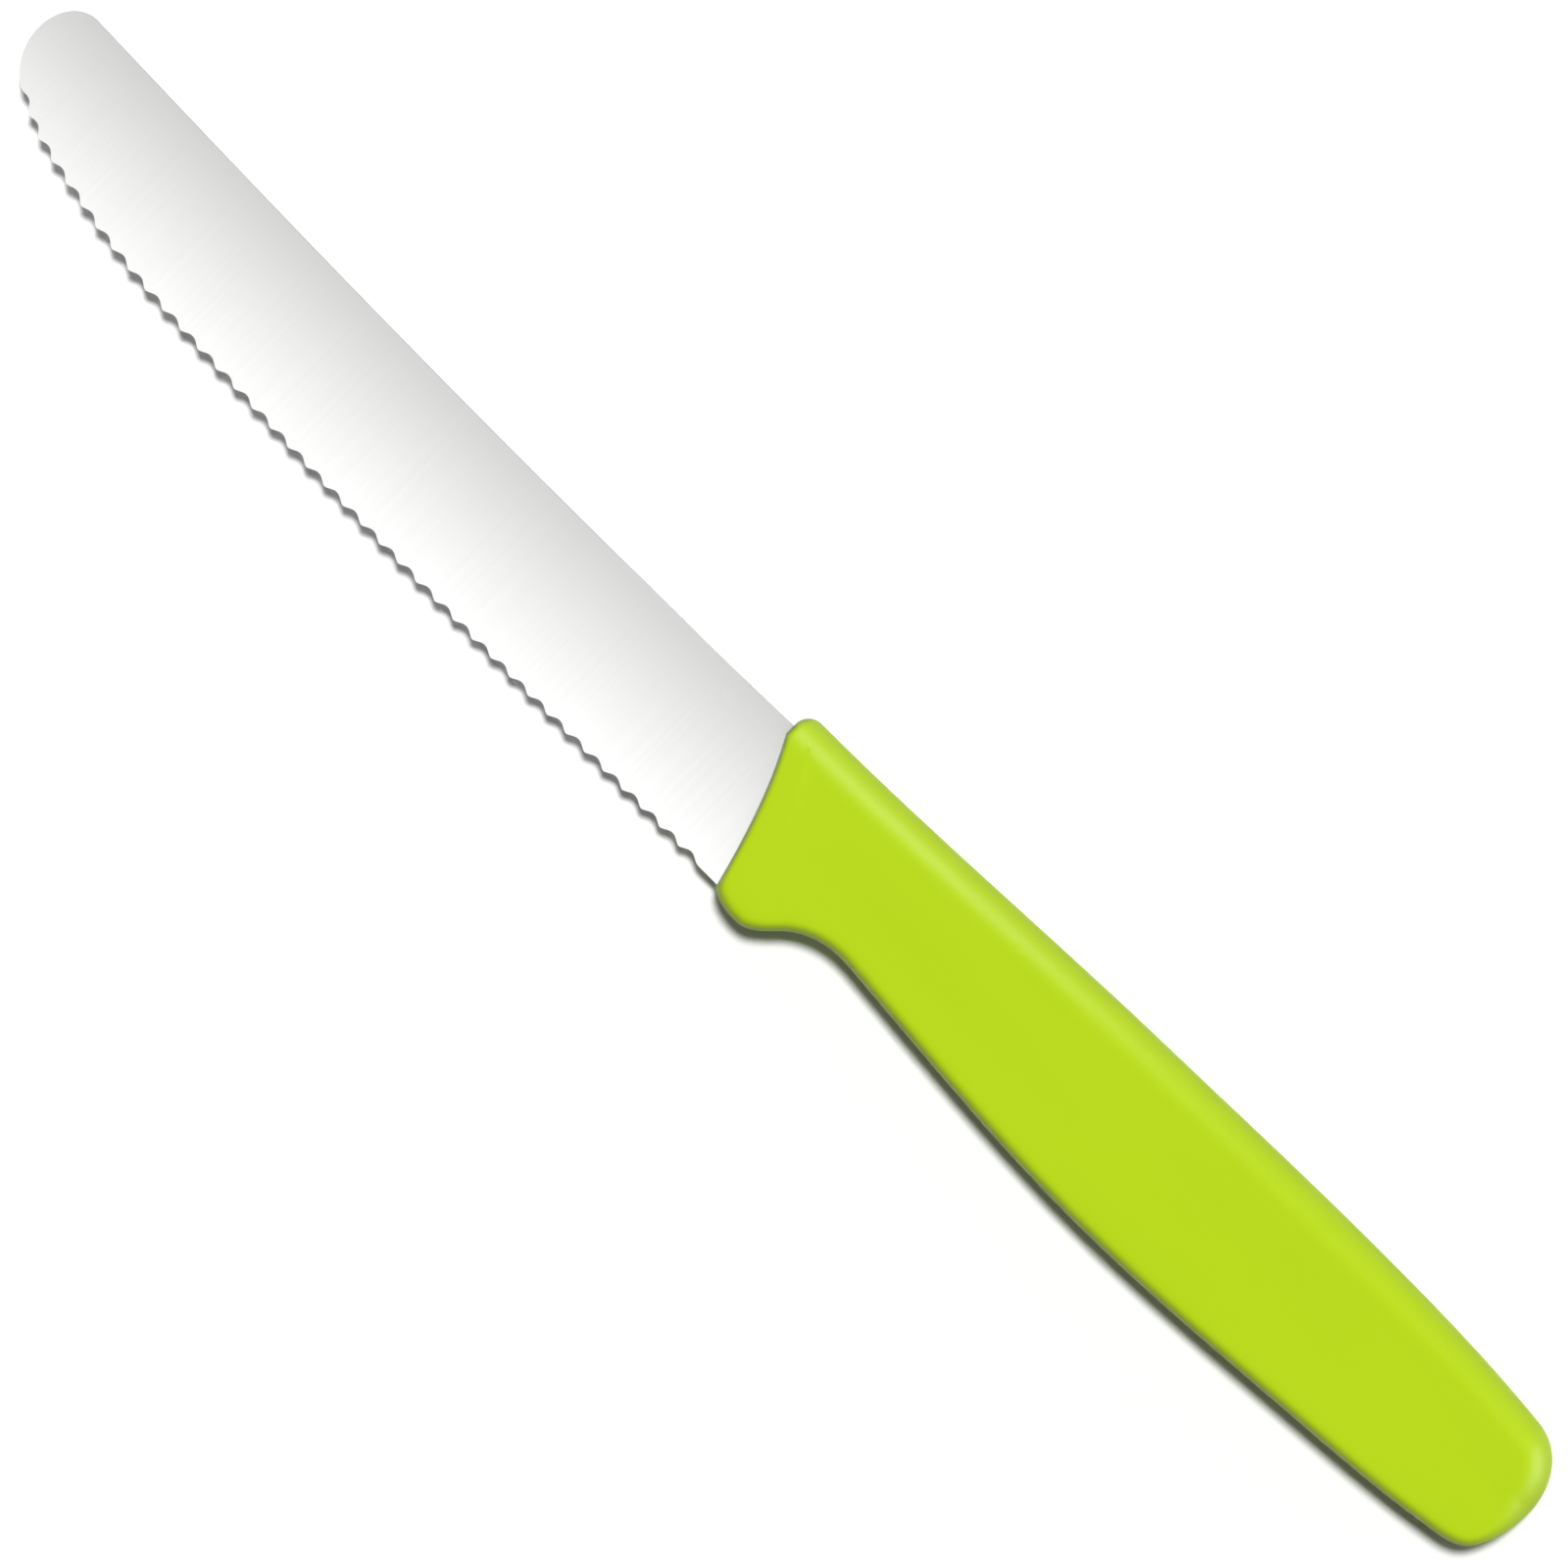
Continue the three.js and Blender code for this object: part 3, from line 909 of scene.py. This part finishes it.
        # A block stands for the room that the wheel passes through. Its corners say where they go: X is the
        # share of the way along the edge, from -0.5 to 0.5, and Y and Z go from -1 to 1 inwards and upwards.
        grid = {
            "Size": (1.0, 2.0, 2.0),
            "Vertices X": count * tree.given("Tooth Steps"),
            "Vertices Y": 2,
            "Vertices Z": 2,
        }
        block = bench.add("GeometryNodeMeshCube", {}, grid)
        share, inner, upper = bench.parts(bench.add("GeometryNodeInputPosition"))
        turns = (0.5 - share) * (count + 2 * run_out / pitch) - run_out / pitch
        on_teeth = turns.held(0.0, count)
        past = (turns - on_teeth) * pitch / run_out
        wave = (0.5 - 0.5 * (2 * math.pi * on_teeth).cosine()) ** tree.given("Tooth Power")
        depth = tree.given("Tooth Depth") * wave - past * past * run_out
        sample = {"Curves": path, "Length": length - plain - turns * pitch}
        spot = bench.add("GeometryNodeSampleCurve", {"mode": "LENGTH"}, sample, "Position")
        spot_x, spot_y, spot_z = bench.parts(spot)
        along_x, along_y, _ = bench.parts(Wire(bench, spot.socket.node.outputs["Tangent"]))
        inward = depth + inner * reach * angle.cosine()
        height = spot_z - reach + (upper * 0.5 + 0.5) * reach * (1 - inner * angle.sine())
        ground = bench.vector(spot_x - along_y * inward, spot_y + along_x * inward, height)
        tree.cut(piece, bench.add("GeometryNodeSetPosition", {}, {"Geometry": block, "Position": ground}))
        bpy.data.curves.remove(line.data)

    def build(self, place: Place) -> bpy.types.Object:
        """Makes the blade and dresses it.

        Args:
            place: Where the knife lies in the frame.

        Returns:
            The finished piece.
        """
        steel = self.finish.material()
        piece = self.blank("steel_blade", place)
        self.punch(piece, place, 0.0, steel)
        self.scallop(piece, place, steel)
        polish(piece, self.crease)
        return piece


@dataclass
class Handle:
    """The handle, moulded round the tang."""

    blade: Blade
    length: float = 109.8
    thickness: float = 12.0
    parting_land: float = 0.6
    parting_groove: float = 0.05
    back_edge: Edge = Edge(3.9, 2.0)
    butt_edge: Edge = Edge(3.4, 2.0)
    under_edge: Edge = Edge(1.9, 4.0)
    front_draft: float = 0.22
    rim_round: float = 0.5
    rim_fade: float = 2.0
    front_reach: float = 2.6
    shoulder_height: float = 7.05
    front_round: float = 1.9
    front_upright: float = 1.35
    front_lean: float = 29.5
    front_foot_lean: float = 14.5
    lip_front_depth: float = 12.4
    lip_front_slope: float = 37.0
    butt_height: float = 1.2
    # Points of the outline: the way along, the distance from the axis and, where it isn't level, the slope.
    lip: tuple[float, float] = (9.8, 13.42)
    lip_rear: Triple = (13.7, 11.02, 46.0)
    rest: Triple = (21.2, 8.52, 4.6)
    belly: tuple[float, float] = (55.5, 10.64)
    back: Triple = (50.0, 8.72, 1.35)
    # These have the way back from the butt's end in place of the way along.
    grip: Triple = (23.8, 8.94, 4.4)
    butt_under: Triple = (7.2, 7.26, 9.0)
    butt_low: Triple = (1.9, 5.33, 53.0)
    butt_top: Triple = (5.7, 8.38, 6.0)
    crest: tuple[float, float] = (29.8, 9.34)
    mouth_gap: float = 0.05
    spacing: float = 0.35
    inset_blur: float = 2.5
    inset_margin: float = 0.3
    rings: int = 18
    # The levels of the rows round the parting plane, as shares of its land. The one in the plane is sunk.
    land_levels: tuple[float, ...] = (0.3, 0.12, 0.0, -0.12, -0.3)
    crease: float = 24.0
    finish: LimePlastic = field(default_factory=LimePlastic)

    def side_knots(self) -> list[Knot]:
        """Gives the long sides of the outline.

        Returns:
            Their knots, from the front along the back, round the butt and along the underside to the lip.
        """
        end = self.length
        under, low, top = self.butt_under, self.butt_low, self.butt_top
        grip, rest, rear = self.grip, self.rest, self.lip_rear
        return [
            Knot(self.front_round, self.shoulder_height, 0, self.back_edge),
            Knot(*self.back, self.back_edge),
            Knot(end - self.crest[0], self.crest[1], 0, self.back_edge),
            Knot(end - top[0], top[1], -top[2], self.butt_edge),
            Knot(end, self.butt_height, -90, self.butt_edge),
            Knot(end - low[0], -low[1], 180 + low[2], self.under_edge),
            Knot(end - under[0], -under[1], 180 + under[2], self.under_edge),
            Knot(end - grip[0], -grip[1], 180 + grip[2], self.under_edge),
            Knot(self.belly[0], -self.belly[1], 180, self.under_edge),
            Knot(rest[0], -rest[1], 180 - rest[2], self.under_edge),
            Knot(rear[0], -rear[1], 180 + rear[2], self.under_edge),
            Knot(self.lip[0], -self.lip[1], 180, self.under_edge),
            Knot(self.blade.edge_run, -self.lip_front_depth, 180 - self.lip_front_slope, self.under_edge),
        ]

    def front_knots(self) -> list[Knot]:
        """Gives the front of the outline.

        Returns:
            Its knots, from the lip up to the back.
        """
        corner = self.shoulder_height - self.front_round
        upright = corner - self.front_upright
        return [
            Knot(self.blade.edge_run, -self.lip_front_depth, 90 + self.front_foot_lean),
            Knot(0, upright, 90 + self.front_lean),
            Knot(0, upright, 90),
            Knot(0, corner, 90),
            Knot(self.front_round, self.shoulder_height, 0),
        ]

    def flank_height(self, plan: np.ndarray) -> np.ndarray:
        """Gives the height of the upper flank over points of the plan.

        Args:
            plan: The points, one a row.

        Returns:
            The height above the parting plane, with the rounded edge, the front's draft and its rounded rim.
        """
        knots = self.side_knots()
        past = 2 * self.thickness
        land = self.parting_land
        side, edges = trace(knots, self.spacing)
        side = np.vstack([knots[0].ahead(-past), side, knots[-1].ahead(past)])
        away, edge = nearest(plan, side, np.vstack([edges[:1], edges, edges[-1:]]))
        width, power = edge.T
        inset = 1 - np.clip(away / width, 0, 1)
        body = land + (self.thickness / 2 - land) * (1 - inset**power) ** (1 / power)
        front, plain = trace(self.front_knots(), self.spacing)
        behind, _ = nearest(plan, front, plain)
        rim = self.rim_round * smooth_step((body - land) / self.rim_fade) + TINY
        turn = 1 - np.clip((behind - self.front_draft) / rim, 0, 1)
        rimmed = body - rim * (1 - np.sqrt(1 - turn**2))
        return land + (rimmed - land) * np.clip(behind / self.front_draft, 0, 1)

    def inset(self, outline: np.ndarray, reach: np.ndarray) -> np.ndarray:
        """Moves a closed outline inwards, with its way in evened out so that it doesn't fold at corners.

        Args:
            outline: The points, one a row, clockwise.
            reach: How far each point goes.

        Returns:
            The moved points.
        """
        step = np.linalg.norm(np.roll(outline, -1, axis=0) - outline, axis=1)
        spot = np.concatenate([[0.0], np.cumsum(step)[:-1]])
        around = step.sum()
        apart = np.abs(spot[:, None] - spot[None])
        apart = np.minimum(apart, around - apart)
        weight = np.exp(-0.5 * (apart / self.inset_blur) ** 2) * (step + np.roll(step, 1))
        weight /= weight.sum(1)[:, None]
        along = np.roll(outline, -1, axis=0) - np.roll(outline, 1, axis=0)
        outward = unit(weight @ left_of(unit(along)))
        return outline - outward * (weight @ reach)[:, None]

    def body(self, place: Place) -> bpy.types.Object:
        """Makes the moulding as if it were solid.

        Args:
            place: Where the knife lies in the frame.

        Returns:
            The piece.
        """
        side, edges = trace(self.side_knots(), self.spacing)
        front, _ = trace(self.front_knots(), self.spacing)
        outline = np.vstack([side, front[1:-1]])
        reach = np.concatenate([edges[:, 0] + self.inset_margin, np.full(len(front) - 2, self.front_reach)])
        inner = self.inset(outline, reach)
        shares = 1 - np.cos(np.linspace(0, math.pi / 2, self.rings))
        upper = []
        for share in shares[::-1]:
            plan = outline + (inner - outline) * share
            upper.append(np.column_stack([plan, self.flank_height(plan)]))
        wall = upper[-1]
        sunk = self.inset(outline, np.full(len(outline), self.parting_groove))
        sunk[len(side) :] = outline[len(side) :]
        rows = []
        for level in self.land_levels:
            rows.append(np.column_stack([outline if level else sunk, wall[:, 2] * level]))
        lower = [loop * (1, 1, -1) for loop in upper[::-1]]
        return lofted("plastic_handle", np.array([*upper, *rows, *lower]), place, capped=True)

    def build(self, place: Place) -> bpy.types.Object:
        """Makes the handle with the room for the tang in it, and dresses it.

        Args:
            place: Where the knife lies in the frame.

        Returns:
            The finished piece.
        """
        plastic = self.finish.material()
        piece = self.body(place)
        piece.data.materials.append(plastic)
        tang = self.blade.blank("tang_room", place, self.mouth_gap)
        self.blade.punch(tang, place, self.mouth_gap, plastic)
        cut = piece.modifiers.new("tang_room", "BOOLEAN")
        cut.operation = "DIFFERENCE"
        cut.solver = "MANIFOLD"
        cut.object = tang
        freeze(piece, cut)
        bpy.data.meshes.remove(tang.data)
        polish(piece, self.crease)
        return piece


@dataclass(frozen=True)
class Lamp:
    """A far lamp, which leans from straight above and is then turned round the upright."""

    name: str
    strength: float
    lean: float
    turn: float
    spread: float
    casts_shadow: bool = True

    def build(self) -> None:
        """Makes the lamp, which gloss doesn't show."""
        light = bpy.data.lights.new(self.name, "SUN")
        light.energy = self.strength
        light.angle = math.radians(self.spread)
        light.use_shadow = self.casts_shadow
        lamp = placed(self.name, light)
        lamp.rotation_euler = (math.radians(self.lean), 0, math.radians(self.turn))
        lamp.visible_glossy = False


@dataclass(frozen=True)
class GlossBox:
    """A soft box beside the knife that only gloss shows. A white floor has a glow of 1."""

    name: str
    glow: float
    spot: Triple
    size: float
    aim: Triple

    def build(self, place: Place) -> None:
        """Makes the box.

        Args:
            place: Where the knife lies in the frame.
        """
        light = bpy.data.lights.new(self.name, "AREA")
        light.shape = "SQUARE"
        light.size = self.size * METRES
        light.energy = self.glow * math.pi * light.size**2
        light.use_shadow = False
        box = placed(self.name, light)
        box.location = place.to_frame(np.array(self.spot))
        away = Vector(np.array(self.spot) - np.array(self.aim))
        box.rotation_euler = away.to_track_quat("Z", "Y").to_euler()
        box.visible_camera = False
        box.visible_diffuse = False


@dataclass
class Studio:
    """A white table under a high key light, with a low lamp and two soft boxes round the back and the butt.

    The camera looks straight down.
    """

    place: Place
    middle: tuple[float, float] = (3.5, 0.0)
    view_width: float = 160.0
    view_roll: float = 45.0
    camera_distance: float = 1500.0
    sensor: float = 36.0
    clip_end: float = 20.0
    floor_reach: float = 4.0
    floor_color: Color = WHITE
    bounce_color: Color = (0.3, 0.3, 0.3)
    key: Lamp = Lamp("key", 2.96, -8.1, 30.0, 6.5)
    side_lamp: Lamp = Lamp("side_lamp", 1.4, -88.0, -40.0, 40.0, casts_shadow=False)
    back_box: GlossBox = GlossBox("back_box", 15.0, (12.0, 75.0, 40.0), 50.0, (18.0, 5.7, 5.0))
    butt_box: GlossBox = GlossBox("butt_box", 12.5, (152.0, 38.0, 12.0), 42.0, (106.0, 4.0, 2.0))
    fill: float = 0.05
    # What gloss shows of the room: its glow, that of its bright strip, and the directions in which the strip
    # rises and falls, along and across the knife.
    ceiling_low: float = 0.34
    ceiling_high: float = 1.74
    strip_along: Band = (-0.6, -0.35, 0.35, 0.6)
    strip_across: Band = (-0.65, -0.40, -0.17, 0.10)

    def floor(self) -> bpy.types.Object:
        """Makes the table top.

        Returns:
            A flat square. It is white to the eye and in gloss, and throws little light back up.
        """
        material, bench = new_material("white_table")
        mirrored = bench.add("ShaderNodeLightPath", output="Is Glossy Ray")
        shown = bench.math("MAXIMUM", self.shown(bench), mirrored)
        bench.surface(
            {
                "Base Color": bench.mix(shown, self.bounce_color, self.floor_color),
                "Roughness": 1.0,
                "Specular IOR Level": 0.0,
            }
        )
        reach = self.floor_reach
        mesh = bpy.data.meshes.new("table_top")
        corners = [(-reach, -reach, 0), (reach, -reach, 0), (reach, reach, 0), (-reach, reach, 0)]
        mesh.from_pydata(corners, [], [(0, 1, 2, 3)])
        mesh.materials.append(material)
        return placed("table_top", mesh)

    @staticmethod
    def shown(bench: Bench) -> Wire:
        """Gives 1 where the camera sees something straight or through glass, and 0 elsewhere."""
        seen = bench.add("ShaderNodeLightPath", output="Is Camera Ray")
        return bench.math("MAXIMUM", seen, bench.add("ShaderNodeLightPath", output="Is Transmission Ray"))

    def lights(self) -> None:
        """Makes the lamps and the room, whose ceiling with its bright strip only gloss shows."""
        self.key.build()
        self.side_lamp.build()
        self.back_box.build(self.place)
        self.butt_box.build(self.place)
        room = bpy.data.worlds.new("room")
        room.use_nodes = True
        room.node_tree.nodes.clear()
        bench = Bench(room.node_tree)
        along, across, _ = bench.parts(bench.add("ShaderNodeTexCoord", output="Generated"))
        bright = along.within(self.strip_along) * across.within(self.strip_across)
        gloss = self.ceiling_low + bright * (self.ceiling_high - self.ceiling_low)
        shown = self.shown(bench)
        mirrored = bench.add("ShaderNodeLightPath", output="Is Glossy Ray")
        lit = mirrored * gloss + (1 - mirrored) * self.fill
        paint = {"Color": (*WHITE, 1.0), "Strength": shown + (1 - shown) * lit}
        bench.add("ShaderNodeOutputWorld", {}, {"Surface": bench.add("ShaderNodeBackground", {}, paint)})
        bpy.context.scene.world = room

    def camera(self) -> None:
        """Makes the camera over the knife."""
        lens = bpy.data.cameras.new("view")
        lens.sensor_width = self.sensor
        lens.lens = self.sensor * self.camera_distance / self.view_width
        lens.clip_end = self.clip_end
        camera = placed("view", lens)
        camera.location = self.place.to_frame(np.array([*self.middle, self.camera_distance]))
        camera.rotation_euler = (0, 0, math.radians(self.view_roll))
        bpy.context.scene.camera = camera

    def build(self) -> None:
        """Sets the stage."""
        self.floor()
        self.lights()
        self.camera()
        bpy.context.scene.view_settings.view_transform = "Standard"


def main() -> None:
    """Loads the frame, builds the blade, the handle and the studio."""
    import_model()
    blade = Blade()
    handle = Handle(blade)
    low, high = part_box("handle")
    place = Place(low.x, low.y + handle.lip[1] * METRES, (low.z + high.z) / 2)
    for part, node, slot in ((blade, "blade", "blade_steel"), (handle, "handle", "handle_plastic")):
        piece = part.build(place)
        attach(piece, "root")
        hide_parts(node)
        LOG.info("%s: %d faces for %s", piece.name, len(piece.data.polygons), node)
    Studio(place).build()
    LOG.info("table, light and camera are set")


if __name__ == "__main__":
    main()
